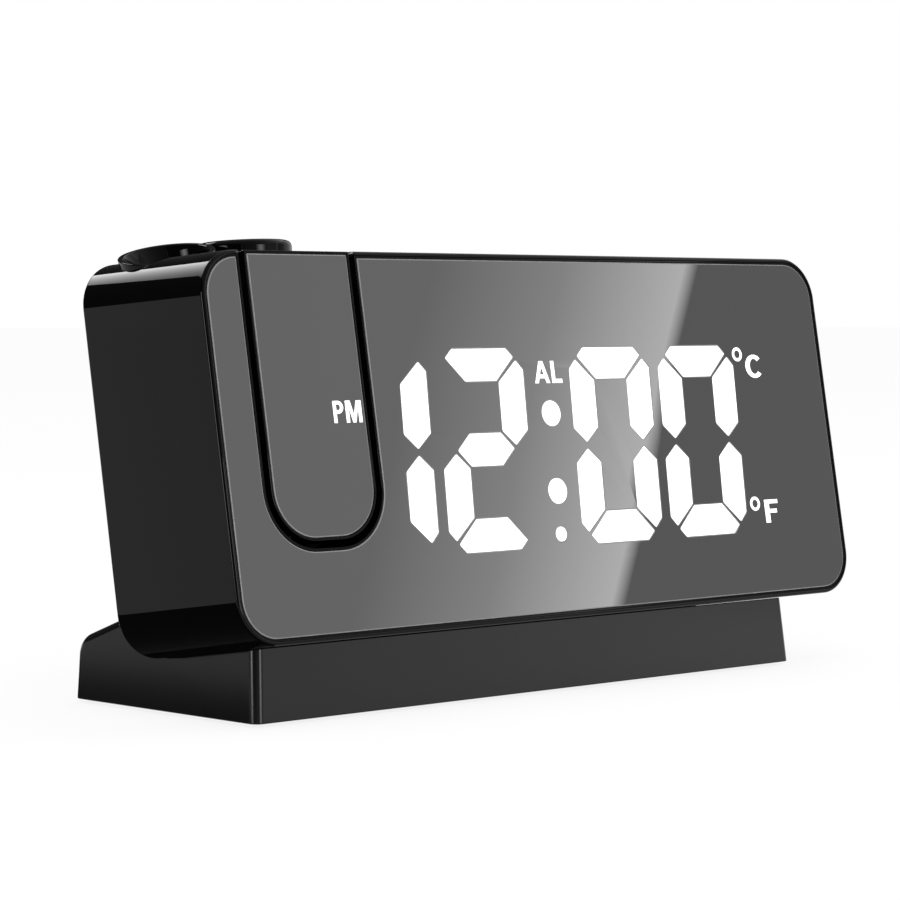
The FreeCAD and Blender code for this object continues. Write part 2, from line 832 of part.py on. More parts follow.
def switchBracket():
    """Sleeve that hangs the small board from the collar."""
    axis = collarAxis()
    top = collarCentre() - axis * collarDepth
    base = switchTop() - axis * (switchHeight + boardThickness)
    height = (top - base).dot(axis)
    ring = rod(collarRadius - collarWall, base, axis, height)
    inner = rod(collarRadius - 2 * collarWall, base - axis, axis, height + 2)
    board = rod(collarRadius - collarWall, base, axis, boardThickness)
    return ring.cut([inner, board])


def dialKnob():
    axis = knobAxis()
    base = knobSeat() + axis * knobGap
    knob = rod(knobRadius, base, axis, knobHeight - knobGap)
    upper = [e for e in knob.Edges if onPlane(e, base + axis * (knobHeight - knobGap), axis)]
    knob = knob.makeFillet(knobEdgeRadius, upper)
    socket = rod(knobShaftRadius, base - axis, axis, 1 + knobHeight / 2)
    return knob.cut(socket)


def dialShaft():
    axis = knobAxis()
    return rod(knobShaftRadius - runningGap, knobSeat() - axis * knobShaftLength, axis,
               knobShaftLength + knobGap + knobHeight / 2)


def dialBody():
    """Turning control with its threaded neck, held under the top wall."""
    axis = knobAxis()
    seat = knobSeat()
    under = seat - axis * (wallThickness + bushRoom)
    neck = rod(knobShaftRadius + bushWall, under, axis, wallThickness + bushRoom)
    body = block(-dialBodyHalf, dialBodyHalf, -dialBodyHalf, dialBodyHalf, -dialBodyHeight, 0)
    body.rotate(Vector(0, 0, 0), Vector(1, 0, 0), math.degrees(math.atan2(topRise, housingDepth)))
    body.translate(under)
    return body.fuse(neck).cut(rod(knobShaftRadius, seat - axis * (knobShaftLength + shaftRoom), axis,
                                   2 * knobShaftLength)).removeSplitter()


# Rear side

def keyCap(x):
    """Push key with a flange that keeps it inside the rear wall."""
    inner = housingDepth - wallThickness
    cap = plate(roundedWire(x - keyWidth / 2, x + keyWidth / 2, keysZ - keyHeight / 2, keysZ + keyHeight / 2,
                            keyHeight / 3, inner - fitGap), wallThickness + keyProud + fitGap)
    grow = keyFlange
    flange = block(x - keyWidth / 2 - grow, x + keyWidth / 2 + grow, inner - fitGap - keyFlangeThickness,
                   inner - fitGap, keysZ - keyHeight / 2 - grow, keysZ + keyHeight / 2 + grow)
    stemFront = keySwitchBack() + buttonGap
    stem = rod(keyStem / 2, Vector(x, stemFront + keyTravel, keysZ), Vector(0, 1, 0),
               inner - stemFront - keyTravel - keyFlangeThickness)
    return cap.fuse([flange, stem]).removeSplitter()


def mainBoardBack():
    return housingDepth - wallThickness - mainBoardGap


def keySwitchBack():
    return mainBoardBack() + keySwitchHeight


def keySwitches():
    switches = []
    half = keySwitchHalf
    for x in keyPlaces():
        switches.append(block(x - half, x + half, mainBoardBack(), keySwitchBack(),
                              keysZ - half, keysZ + half))
    return Part.makeCompound(switches)


def mainBoard():
    x0 = fromLeft(mainBoardLeft)
    return block(x0, x0 + mainBoardWidth, mainBoardBack() - boardThickness, mainBoardBack(),
                 mainBoardBottom, mainBoardBottom + mainBoardHeight)


def boardPosts():
    """Four stand-offs that hold the main board off the rear wall."""
    x0 = fromLeft(mainBoardLeft)
    posts = []
    for x in (x0 + postRadius, x0 + mainBoardWidth - postRadius):
        for z in (mainBoardBottom + postRadius, mainBoardBottom + mainBoardHeight - postRadius):
            posts.append(rod(postRadius / 2, Vector(x, mainBoardBack(), z), Vector(0, 1, 0), mainBoardGap))
    return Part.makeCompound(posts)


def usbSocket():
    outer = socketBox(usbX, usbWidth, usbHeight, 0, housingDepth - usbDepth, housingDepth - fitGap)
    inner = socketBox(usbX, usbWidth, usbHeight, -socketWall, housingDepth - usbDepth + socketWall,
                      housingDepth)
    return outer.cut(inner)


def usbTongue():
    x = fromLeft(usbX)
    half = usbWidth / 2 - 2 * socketWall
    top = socketsZ + usbHeight / 2 - socketWall
    return block(x - half, x + half, housingDepth - usbDepth + socketWall, housingDepth - socketPinSink,
                 top - tongueThickness, top)


def powerSocket():
    outer = socketBox(powerX, powerWidth, powerHeight, 0, housingDepth - powerDepth, housingDepth - fitGap)
    centre = Vector(fromLeft(powerX), housingDepth - powerDepth + socketWall, socketsZ)
    well = rod(powerHeight / 2 - socketWall / 2, centre, Vector(0, 1, 0), powerDepth)
    pin = rod(socketWall, centre, Vector(0, 1, 0), powerDepth - socketPinSink)
    return outer.cut(well).fuse(pin).removeSplitter()


def socketBoard():
    x0 = fromLeft(usbX) - usbWidth / 2 - socketBoardMargin
    x1 = fromLeft(powerX) + powerWidth / 2 + socketBoardMargin
    low = socketsZ - max(usbHeight, powerHeight) / 2 - boardThickness
    board = block(x0, x1, housingDepth - usbDepth, housingDepth - wallThickness, low, low + boardThickness)
    lift = (max(usbHeight, powerHeight) - usbHeight) / 2
    if lift > 0:
        left = x0 + socketBoardMargin
        base = low + boardThickness
        board = board.fuse(block(left, left + usbWidth, housingDepth - usbDepth,
                                 housingDepth - wallThickness, base, base + lift))
    return board.removeSplitter()


def speakerUnit():
    rear = housingDepth - wallThickness
    centre = Vector(fromLeft(speakerX), rear - speakerDepth, speakerZ)
    back = Vector(0, 1, 0)
    basket = Part.makeCone(speakerRadius * speakerBackShare, speakerRadius, speakerDepth, centre, back)
    coneDepth = speakerDepth * coneDepthShare
    cone = Part.makeCone(speakerRadius * coneBackShare, speakerRadius * coneFrontShare, coneDepth,
                         centre + back * (speakerDepth - coneDepth), back)
    magnet = rod(speakerRadius * magnetShare, centre - back * magnetDepth, back, magnetDepth)
    return basket.cut(cone).fuse(magnet).removeSplitter()


def coinCell():
    front = housingDepth - wallThickness - coinThickness
    centre = Vector(fromLeft(batteryX), front, batteryZ)
    cell = rod(coinRadius, centre, Vector(0, 1, 0), coinThickness)
    return cell


def batteryDoor():
    x = fromLeft(batteryX)
    half = doorHalf - fitGap
    door = plate(roundedWire(x - half, x + half, batteryZ - half, batteryZ + half, doorCornerRadius,
                             housingDepth - doorThickness), doorThickness)
    gripLow = batteryZ - half + doorGripRise
    grip = block(x - doorGripHalf, x + doorGripHalf, housingDepth - doorGripDepth, 2 * housingDepth,
                 gripLow, gripLow + doorGripWidth)
    hole = rod(screwRadius, Vector(x, 0, doorScrewZ), Vector(0, 1, 0), 2 * housingDepth)
    return door.cut([grip, hole])


def doorScrew():
    x = fromLeft(batteryX)
    return rod(screwRadius, Vector(x, housingDepth - doorThickness, doorScrewZ), Vector(0, 1, 0),
               doorThickness)


def caseScrews():
    screws = []
    for x, z in postPlaces():
        head = rod(screwHeadRadius, Vector(x, housingDepth - screwHeadHeight, z), Vector(0, 1, 0),
                   screwHeadHeight - fitGap)
        shank = rod(screwRadius, Vector(x, postBack - 2 * screwHeadRadius, z), Vector(0, 1, 0),
                    housingDepth - screwHeadHeight - postBack + 2 * screwHeadRadius)
        slotFront = housingDepth - screwSlotDepth
        half = screwSlotWidth / 2
        slotX = block(x - screwRadius, x + screwRadius, slotFront, housingDepth, z - half, z + half)
        slotZ = block(x - half, x + half, slotFront, housingDepth, z - screwRadius, z + screwRadius)
        screws.append(head.fuse(shank).cut([slotX, slotZ]))
    return Part.makeCompound(screws)


# Foot

def footSection(x, shrink):
    """Side outline of the foot in the world frame at x, drawn in by shrink."""
    floor = padProud
    front = footFront - originShift + shrink
    rear = rearExtreme - originShift - shrink
    low = floor if shrink == 0 else floor - 1
    wallTop = floor + footRearWall - shrink
    high = wallTop + (rear - front) * math.tan(math.radians(footSlope))
    frontTop = front + (high - floor) * math.tan(math.radians(footFrontLean))
    points = [(front, low), (rear, low), (rear, wallTop), (frontTop, high)]
    return [Vector(x, y, z) for y, z in points]


def footLoft(shrink):
    """Wedge whose ends lean in towards the top."""
    half = housingWidth / 2 - footInset - shrink
    wedge = Part.Face(Part.makePolygon(footSection(-half, shrink) + footSection(-half, shrink)[:1]))
    solid = wedge.extrude(Vector(2 * half, 0, 0))
    side = math.tan(math.radians(footSideLean))
    tall = 2 * faceHeight
    for sign in (-1, 1):
        edge = sign * half
        points = [Vector(edge, -tall, 0), Vector(edge - sign * side * tall, -tall, tall),
                  Vector(edge + sign * tall, -tall, tall), Vector(edge + sign * tall, -tall, 0)]
        solid = solid.cut(Part.Face(Part.makePolygon(points + points[:1])).extrude(Vector(0, 2 * tall, 0)))
    return solid


def housingSpace(gap):
    """Room that the housing takes out of the foot."""
    half = housingWidth
    wide = Part.makePolygon([
        Vector(-half, -housingDepth, -gap),
        Vector(-half, 0, -gap),
        Vector(-half, housingDepth + gap, bottomRise * (1 + gap / housingDepth) - gap),
        Vector(-half, housingDepth + gap, 2 * faceHeight),
        Vector(-half, -housingDepth, 2 * faceHeight),
        Vector(-half, -housingDepth, -gap),
    ])
    return place(Part.Face(wide).extrude(Vector(2 * half, 0, 0)))


def footCorners(solid):
    """Upright and rear upper edges of the foot that are rounded off."""
    chosen = []
    for edge in solid.Edges:
        a = edge.Vertexes[0].Point
        b = edge.Vertexes[-1].Point
        run = b - a
        if run.Length > uprightEdgeLength and abs(run.z) > uprightShare * run.Length:
            chosen.append(edge)
    return chosen


def footShell():
    solid = footLoft(0)
    rear = rearExtreme - originShift
    ridge = [e for e in solid.Edges
             if abs(e.BoundBox.YMax - rear) < 0.001 and abs(e.BoundBox.YMin - rear) < 0.001
             and e.BoundBox.ZMin > footRearWall / 2]
    solid = solid.makeFillet(footRearRadius, ridge)
    solid = solid.makeFillet(footEdgeRadius, footCorners(solid))
    hollow = footLoft(footWall).cut(housingSpace(footWall))
    solid = solid.cut([housingSpace(fitGap), hollow])
    posts = []
    for x, y in footScrewPlaces():
        posts.append(rod(footPostRadius, Vector(x, y, bottomPlateTop), Vector(0, 0, 1), faceHeight))
    inner = footLoft(footWall / 2)
    solid = solid.fuse([post.common(inner).cut(housingSpace(fitGap)) for post in posts])
    cuts = []
    for x, y in footScrewPlaces():
        cuts.append(rod(screwRadius, Vector(x, y, 0), Vector(0, 0, 1), footScrewLength + footWall))
    for x in anchorPlaces():
        hole = rod(screwRadius, Vector(x, anchorY, -5 * footWall), Vector(0, 0, 1), 6 * footWall)
        cuts.append(place(hole))
    return solid.cut(cuts).removeSplitter()


def footScrewPlaces():
    half = housingWidth / 2 - footInset - padInset - 2 * padRadius
    front = footFront - originShift + padInset
    rear = rearExtreme - originShift - padInset
    return [(-half, front), (half, front), (-half, rear), (half, rear)]


def padPlaces():
    half = housingWidth / 2 - footInset - padInset
    front = footFront - originShift + padInset
    rear = rearExtreme - originShift - padInset
    return [(-half, front), (half, front), (-half, rear), (half, rear)]


def bottomPlate():
    inset = footWall + fitGap
    side = math.tan(math.radians(footSideLean)) * bottomPlateTop
    half = housingWidth / 2 - footInset - inset - side
    front = footFront - originShift + inset + math.tan(math.radians(footFrontLean)) * bottomPlateTop
    rear = rearExtreme - originShift - inset
    body = Part.makeBox(2 * half, rear - front, bottomPlateThickness,
                        Vector(-half, front, padProud + plateRecess))
    cuts = []
    for x, y in padPlaces():
        cuts.append(rod(padRadius, Vector(x, y, 0), Vector(0, 0, 1), padThickness))
    for x, y in footScrewPlaces():
        cuts.append(rod(screwRadius, Vector(x, y, 0), Vector(0, 0, 1), footScrewLength))
        cuts.append(rod(screwHeadRadius, Vector(x, y, 0), Vector(0, 0, 1),
                        padProud + plateRecess + screwHeadHeight))
    return body.cut(cuts)


def rubberFeet():
    pads = []
    for x, y in padPlaces():
        pad = rod(padRadius, Vector(x, y, 0), Vector(0, 0, 1), padThickness)
        lower = [e for e in pad.Edges if e.BoundBox.ZMax < 0.001]
        pads.append(pad.makeFillet(padProud / 3, lower))
    return Part.makeCompound(pads)


def footScrews():
    screws = []
    low = padProud + plateRecess
    for x, y in footScrewPlaces():
        head = rod(screwHeadRadius, Vector(x, y, low), Vector(0, 0, 1), screwHeadHeight)
        shank = rod(screwRadius, Vector(x, y, low), Vector(0, 0, 1), footScrewLength)
        slot = Part.makeBox(2 * screwRadius, screwSlotWidth, screwSlotDepth,
                            Vector(x - screwRadius, y - screwSlotWidth / 2, low))
        screws.append(head.fuse(shank).cut(slot))
    return Part.makeCompound(screws)


def anchorScrews():
    """Screws that go up through the cradle into the housing's underside."""
    screws = []
    for x in anchorPlaces():
        seat = bottomRise * anchorY / housingDepth - footWall - screwGap
        shank = rod(screwRadius, Vector(x, anchorY, seat), Vector(0, 0, 1), 2 * footWall + wallThickness)
        head = rod(screwHeadRadius, Vector(x, anchorY, seat - screwHeadHeight), Vector(0, 0, 1),
                   screwHeadHeight)
        screws.append(shank.fuse(head))
    return Part.makeCompound([place(screw) for screw in screws])


nodes = {
    "housing_shell": place(housingShell()),
    "front_frame": place(frontFrame()),
    "mirror_panel": place(mirrorPanel()),
    "digit_windows": place(Part.makeCompound(windowSolids(mirrorSetback, mirrorThickness))),
    "light_mask": place(lightMask()),
    "display_board": place(displayBoard()),
    "led_chips": place(ledChips()),
    "arm_housing": place(armHousing()),
    "arm_glass": place(armGlass()),
    "arm_cover": place(armCover()),
    "arm_screws": place(armScrews()),
    "lens_barrel": place(lensBarrel()),
    "focus_ring": place(focusRing()),
    "projection_lens": place(projectionLens()),
    "slide_holder": place(slideHolder()),
    "number_slide": place(numberSlide()),
    "condenser_lens": place(condenserLens()),
    "projector_led": place(projectorLed()),
    "hinge_pin": place(hingePin()),
    "hinge_washers": place(hingeWashers()),
    "button_collar": place(buttonCollar()),
    "snooze_button": place(snoozeButton()),
    "snooze_switch": place(snoozeSwitch()),
    "switch_bracket": place(switchBracket()),
    "dial_knob": place(dialKnob()),
    "dial_shaft": place(dialShaft()),
    "dial_body": place(dialBody()),
    "main_board": place(mainBoard()),
    "board_posts": place(boardPosts()),
    "key_switches": place(keySwitches()),
    "usb_socket": place(usbSocket()),
    "usb_tongue": place(usbTongue()),
    "power_socket": place(powerSocket()),
    "socket_board": place(socketBoard()),
    "speaker": place(speakerUnit()),
    "coin_cell": place(coinCell()),
    "battery_door": place(batteryDoor()),
    "door_screw": place(doorScrew()),
    "case_screws": place(caseScrews()),
    "foot_shell": footShell(),
    "bottom_plate": bottomPlate(),
    "rubber_feet": rubberFeet(),
    "foot_screws": footScrews(),
    "anchor_screws": anchorScrews(),
}
keyNames = ["mode", "set", "up", "down", "alarm"]
for name, x in zip(keyNames, keyPlaces()):
    nodes["key_" + name] = place(keyCap(x))

os.makedirs("parts", exist_ok=True)
for name, shape in nodes.items():
    shape.exportStep("parts/" + name + ".step")
    print(name, "solids", len(shape.Solids), "valid", shape.isValid(), "volume", round(shape.Volume, 1))
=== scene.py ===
import math
import bpy
from mathutils import Matrix, Vector


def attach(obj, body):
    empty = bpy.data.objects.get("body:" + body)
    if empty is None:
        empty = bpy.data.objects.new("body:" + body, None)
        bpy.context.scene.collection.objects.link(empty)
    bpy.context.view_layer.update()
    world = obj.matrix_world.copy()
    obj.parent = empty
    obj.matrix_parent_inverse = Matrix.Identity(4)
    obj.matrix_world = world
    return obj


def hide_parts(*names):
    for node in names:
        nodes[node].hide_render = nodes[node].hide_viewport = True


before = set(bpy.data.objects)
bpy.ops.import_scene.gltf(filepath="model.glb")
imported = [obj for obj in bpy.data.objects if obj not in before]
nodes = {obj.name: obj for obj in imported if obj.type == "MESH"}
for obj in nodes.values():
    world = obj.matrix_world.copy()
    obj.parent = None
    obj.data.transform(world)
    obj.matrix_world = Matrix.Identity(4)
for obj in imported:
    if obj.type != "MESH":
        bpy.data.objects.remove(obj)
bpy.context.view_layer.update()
mm = 0.001
print("stage: frame loaded,", len(nodes), "nodes")


# camera, as the photograph was taken: a long lens, front left, near eye level
shot = {"turn": 43.718, "dip": 2.577, "place": (-486.19, -503.67, 84.69), "lens": 123.837, "sensor": 36,
        "clip": (0.02, 50)}


def makeCamera(s):
    turn, dip = math.radians(s["turn"]), math.radians(s["dip"])
    ahead = Vector((math.sin(turn) * math.cos(dip), math.cos(turn) * math.cos(dip), -math.sin(dip)))
    data = bpy.data.cameras.new("camera")
    data.lens = s["lens"]
    data.sensor_width = s["sensor"]
    data.clip_start, data.clip_end = s["clip"]
    cam = bpy.data.objects.new("camera", data)
    bpy.context.scene.collection.objects.link(cam)
    cam.location = Vector(s["place"]) * mm
    cam.rotation_euler = ahead.to_track_quat("-Z", "Y").to_euler()
    bpy.context.scene.camera = cam


makeCamera(shot)


# shader writing: a wrapped socket that can be added, taken away and multiplied
class Wire:
    def __init__(self, paint, socket):
        self.paint = paint
        self.socket = socket

    def maths(self, operation, first, second):
        return self.paint.add("ShaderNodeMath", {"operation": operation}, {0: first, 1: second})

    def __add__(self, other):
        return self.maths("ADD", self, other)

    def __radd__(self, other):
        return self.maths("ADD", other, self)

    def __rsub__(self, other):
        return self.maths("SUBTRACT", other, self)

    def __mul__(self, other):
        return self.maths("MULTIPLY", self, other)

    def __rmul__(self, other):
        return self.maths("MULTIPLY", other, self)


class Paint:
    def __init__(self, name, tree=None):
        if tree is None:
            self.material = bpy.data.materials.new(name)
            self.material.use_nodes = True
            tree = self.material.node_tree
        self.tree = tree
        self.tree.nodes.clear()

    def add(self, kind, settings=None, sockets=None, out=0):
        node = self.tree.nodes.new(kind)
        for key, value in (settings or {}).items():
            if key == "stops":
                self.fillRamp(node.color_ramp, value)
            else:
                setattr(node, key, value)
        for key, value in (sockets or {}).items():
            if isinstance(value, Wire):
                self.tree.links.new(value.socket, node.inputs[key])
            else:
                node.inputs[key].default_value = value
        return Wire(self, node.outputs[out]) if node.outputs else node

    def fillRamp(self, ramp, stops):
        while len(ramp.elements) > 1:
            ramp.elements.remove(ramp.elements[-1])
        ramp.elements[0].position = stops[0][0]
        ramp.elements[0].color = grey(stops[0][1])
        for place, tone in stops[1:]:
            ramp.elements.new(place).color = grey(tone)

    def where(self):
        node = self.tree.nodes.new("ShaderNodeTexCoord")
        return Wire(self, node.outputs["Object"])

    def noise(self, scale, detail=3.0, rough=0.5, stretch=(1, 1, 1)):
        spot = self.add("ShaderNodeMapping", {}, {"Vector": self.where(), "Scale": stretch})
        return self.add("ShaderNodeTexNoise", {},
                        {"Vector": spot, "Scale": scale, "Detail": detail, "Roughness": rough})

    def tones(self, factor, first, second):
        return self.add("ShaderNodeMix", {"data_type": "RGBA"},             # sockets of its colour form
                        {0: factor, 6: grey(first), 7: grey(second)}, out=2)

    def bump(self, height, strength, distance):
        return self.add("ShaderNodeBump", {},
                        {"Height": height, "Strength": strength, "Distance": distance})

    def surface(self, sockets):
        shader = self.add("ShaderNodeBsdfPrincipled", {}, sockets)
        self.add("ShaderNodeOutputMaterial", {}, {"Surface": shader})
        return self.material


def grey(tone):
    if isinstance(tone, (int, float)):
        return (tone, tone, tone, 1)
    return (*tone[:3], 1)


# finishes
def mouldedPlastic(name, low, high, shine, smudge, grain, height, level=0.28):
    p = Paint(name)
    patch = p.noise(14, 4)                                     # slow drift of tone and polish
    fine = p.noise(grain, 2)                                   # skin of the moulding
    return p.surface({"Base Color": p.tones(patch, low, high), "Roughness": shine + smudge * patch,
                      "Specular IOR Level": level, "Normal": p.bump(fine, height, 0.00002)})


def halfMirror(name, tone):
    p = Paint(name)
    haze = p.noise(9, 5)                                       # wiping haze, barely there
    dust = p.noise(700, 2, 0.7)
    return p.surface({"Base Color": p.tones(haze, tone * 0.97, tone * 1.03), "Metallic": 1.0,
                      "Roughness": 0.002 + 0.004 * haze * dust})


def groundEdge(name):
    p = Paint(name)
    cut = p.noise(500, 2)                                      # the glass's ground rim catches light
    return p.surface({"Base Color": p.tones(cut, 0.16, 0.3), "Roughness": 0.35 + 0.15 * cut,
                      "Specular IOR Level": 0.5})


def litWindow(name):
    p = Paint(name)
    cloud = p.noise(160, 3)                                    # the diffuser's faint cloud
    glow = p.tones(cloud, 0.93, 1.0)
    return p.surface({"Base Color": p.tones(cloud, 0.8, 0.85), "Roughness": 0.4,
                      "Emission Color": glow, "Emission Strength": 1.05})


def turnedMetal(name, low, high, shine, stretch=(1, 1, 30)):
    p = Paint(name)
    lines = p.noise(900, 3, 0.6, stretch)                      # tool marks
    return p.surface({"Base Color": p.tones(lines, low, high), "Metallic": 1.0,
                      "Roughness": shine + 0.12 * lines, "Normal": p.bump(lines, 0.15, 0.00003)})


def clearLens(name):
    p = Paint(name)
    haze = p.noise(400, 2)
    return p.surface({"Base Color": p.tones(haze, (0.90, 0.95, 1.0), (0.96, 0.98, 1.0)),
                      "Roughness": 0.02 + 0.03 * haze, "Transmission Weight": 0.85, "IOR": 1.49})


def circuitBoard(name):
    p = Paint(name)
    tracks = p.noise(260, 1, 0.3, (1, 1, 4))
    edge = p.add("ShaderNodeMath", {"operation": "GREATER_THAN"}, {0: tracks, 1: 0.53})
    colour = p.tones(edge, (0.012, 0.09, 0.035), (0.03, 0.17, 0.07))
    return p.surface({"Base Color": colour, "Roughness": 0.35 - 0.1 * edge,
                      "Normal": p.bump(edge, 0.3, 0.00003)})


def paperCone(name):
    p = Paint(name)
    fibre = p.noise(1200, 4, 0.7, (1, 1, 0.4))
    return p.surface({"Base Color": p.tones(fibre, 0.03, 0.08), "Roughness": 0.8 + 0.15 * fibre,
                      "Normal": p.bump(fibre, 0.5, 0.0001)})


def softPad(name):
    p = Paint(name)
    grain = p.noise(1500, 3)
    return p.surface({"Base Color": p.tones(grain, 0.015, 0.035), "Roughness": 0.75 + 0.15 * grain,
                      "Normal": p.bump(grain, 0.6, 0.00008)})


finish = {                                                     # slot name: material
    "case_black": mouldedPlastic("pianoBlack", low=0.0006, high=0.0014, shine=0.015, smudge=0.015,
                                 grain=320, height=0.006, level=0.12),
    "foot_black": mouldedPlastic("charcoalMoulding", low=0.003, high=0.005, shine=0.14, smudge=0.05,
                                 grain=900, height=0.08, level=0.22),
    "mirror": halfMirror("smokedMirror", tone=0.16),
    "mirrorEdge": groundEdge("groundEdge"),
    "lit_white": litWindow("litWindow"),
    "mask_white": mouldedPlastic("reflectorWhite", low=0.75, high=0.85, shine=0.5, smudge=0.1,
                                 grain=900, height=0.2),
    "board": circuitBoard("greenLaminate"),
    "chip": mouldedPlastic("lampBody", low=(0.8, 0.72, 0.35), high=(0.9, 0.85, 0.6), shine=0.4,
                           smudge=0.1, grain=800, height=0.1),
    "steel": turnedMetal("platedSteel", low=0.45, high=0.62, shine=0.22),
    "dark_steel": turnedMetal("blackenedScrew", low=0.03, high=0.06, shine=0.3, stretch=(8, 1, 8)),
    "lens": clearLens("clearLens"),
    "inner_black": mouldedPlastic("mattMoulding", low=0.006, high=0.012, shine=0.38, smudge=0.15,
                                  grain=1100, height=0.3),
    "pale_plastic": mouldedPlastic("naturalAcetal", low=0.62, high=0.75, shine=0.45, smudge=0.1,
                                   grain=900, height=0.2, level=0.5),
    "key_black": mouldedPlastic("satinKey", low=0.012, high=0.02, shine=0.3, smudge=0.1,
                                grain=1300, height=0.25, level=0.4),
    "rubber": softPad("softPad"),
    "cone": paperCone("pressedPaper"),
    "cell": turnedMetal("coinCan", low=0.6, high=0.78, shine=0.15, stretch=(1, 30, 1)),
}
wears = {                                                      # slot name: nodes
    "case_black": ["housing_shell", "front_frame", "arm_housing", "arm_cover", "button_collar",
                   "snooze_button", "dial_knob", "battery_door"],
    "foot_black": ["foot_shell", "bottom_plate"],
    "mirror": ["mirror_panel", "arm_glass"],
    "lit_white": ["digit_windows"],
    "mask_white": ["light_mask"],
    "board": ["display_board", "main_board", "socket_board", "projector_led"],
    "chip": ["led_chips"],
    "steel": ["hinge_pin", "hinge_washers", "dial_shaft", "dial_body", "usb_socket"],
    "dark_steel": ["arm_screws", "door_screw", "case_screws", "foot_screws", "anchor_screws"],
    "lens": ["projection_lens", "condenser_lens"],
    "inner_black": ["lens_barrel", "focus_ring", "slide_holder", "snooze_switch", "key_switches",
                    "power_socket", "number_slide"],
    "pale_plastic": ["switch_bracket", "board_posts", "usb_tongue"],
    "key_black": ["key_mode", "key_set", "key_up", "key_down", "key_alarm"],
    "rubber": ["rubber_feet"],
    "cone": ["speaker"],
    "cell": ["coin_cell"],
}


def dress(obj, slot):
    if not obj.material_slots:
        obj.data.materials.append(finish[slot])
    for place in obj.material_slots:
        place.material = finish[slot]


for slot, names in wears.items():
    for name in names:
        dress(nodes[name], slot)
print("stage: finishes on", sum(len(n) for n in wears.values()), "nodes")


# modelling helpers
def alone(obj):
    bpy.ops.object.select_all(action="DESELECT")
    obj.select_set(True)
    bpy.context.view_layer.objects.active = obj


def applied(obj, kind, **settings):
    alone(obj)
    m = obj.modifiers.new(kind.lower(), kind)
    for key, value in settings.items():
        setattr(m, key, value)
    bpy.ops.object.modifier_apply(modifier=m.name)


ease = {"weld": 0.002, "flat": 0.6, "sharp": 32, "steps": 2}   # mm, degrees, degrees, rows


def rounded(node, name, body, slot, width):
    # a copy of a CAD node's mesh, welded, with its sharp edges eased
    piece = bpy.data.objects.new(name, nodes[node].data.copy())
    bpy.context.scene.collection.objects.link(piece)
    alone(piece)
    bpy.ops.object.mode_set(mode="EDIT")
    bpy.ops.mesh.select_all(action="SELECT")
    bpy.ops.mesh.remove_doubles(threshold=ease["weld"] * mm)
    if width:
        bpy.ops.mesh.dissolve_limited(angle_limit=math.radians(ease["flat"]))
    bpy.ops.object.mode_set(mode="OBJECT")
    if slot == "mirror":
        piece.data.materials.append(None)                      # its eased edge gets the second finish
    if width:
        applied(piece, "BEVEL", width=width * mm, segments=ease["steps"], limit_method="ANGLE",
                angle_limit=math.radians(ease["sharp"]), use_clamp_overlap=False,
                miter_outer="MITER_ARC", material=1 if slot == "mirror" else -1)
    bpy.ops.object.shade_smooth_by_angle(angle=math.radians(ease["sharp"]), keep_sharp_edges=False)
    applied(piece, "WEIGHTED_NORMAL", keep_sharp=True)
    if node == "housing_shell":
        fairNormals(piece)
    dress(piece, slot)
    if slot == "mirror":
        piece.material_slots[1].material = finish["mirrorEdge"]
    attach(piece, body)
    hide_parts(node)


# the upright drawing that the CAD leans back and sets on its foot, in mm and degrees
drawn = {"half": 95.0, "high": 80.5, "depth": 39.7, "topRise": 4.2, "lowRise": 1.2, "corner": 9.7,
         "lean": 10.0, "origin": (0, -35.505, 17.8)}
leaned = Matrix.Rotation(math.radians(-drawn["lean"]), 3, "X")


def placed(spot):
    # a point of the drawing, in metres in the shared frame
    return (leaned @ Vector(spot) + Vector(drawn["origin"])) * mm


fair = {"front": 0.68, "rear": 0.88, "near": 0.03,             # mm past the eased edges, mm off the loft
        "facing": 0.9, "flat": 0.99995}                        # how nearly a face looks the same way


def loftNormal(spot):
    # the loft's own normal at a point of its outside, or None where the point isn't on it
    x, y, z = leaned.transposed() @ (Vector(spot) / mm - Vector(drawn["origin"]))
    if not fair["front"] <= y <= drawn["depth"] - fair["rear"]:
        return None
    low = drawn["lowRise"] * y / drawn["depth"]
    high = drawn["high"] + drawn["topRise"] * y / drawn["depth"]
    across = max(abs(x) - (drawn["half"] - drawn["corner"]), 0)
    if z > (low + high) / 2:
        rise, slope, sign = z - (high - drawn["corner"]), drawn["topRise"] / drawn["depth"], 1
    else:
        rise, slope, sign = low + drawn["corner"] - z, drawn["lowRise"] / drawn["depth"], -1
    rise = max(rise, 0)
    reach = math.hypot(across, rise)
    if abs(reach - drawn["corner"]) > fair["near"]:
        return None
    up = sign * rise / reach
    return (leaned @ Vector((math.copysign(across / reach, x), -up * slope, up))).normalized()


def fairNormals(piece):
    # the housing is a straight loft: its outside gets the loft's normals, so that gloss runs evenly
    mesh = piece.data
    normals = [Vector(n.vector) for n in mesh.corner_normals]
    own = [loftNormal(v.co) for v in mesh.vertices]
    rearWall = leaned @ Vector((0, 1, 0))
    for polygon in mesh.polygons:
        flat = polygon.normal.dot(rearWall) > fair["flat"]     # the wall round the keys and sockets
        for corner in polygon.loop_indices:
            n = own[mesh.loops[corner].vertex_index]
            if n is not None and n.dot(polygon.normal) > fair["facing"]:
                normals[corner] = n
            elif flat:
                normals[corner] = rearWall
    mesh.normals_split_custom_set(normals)


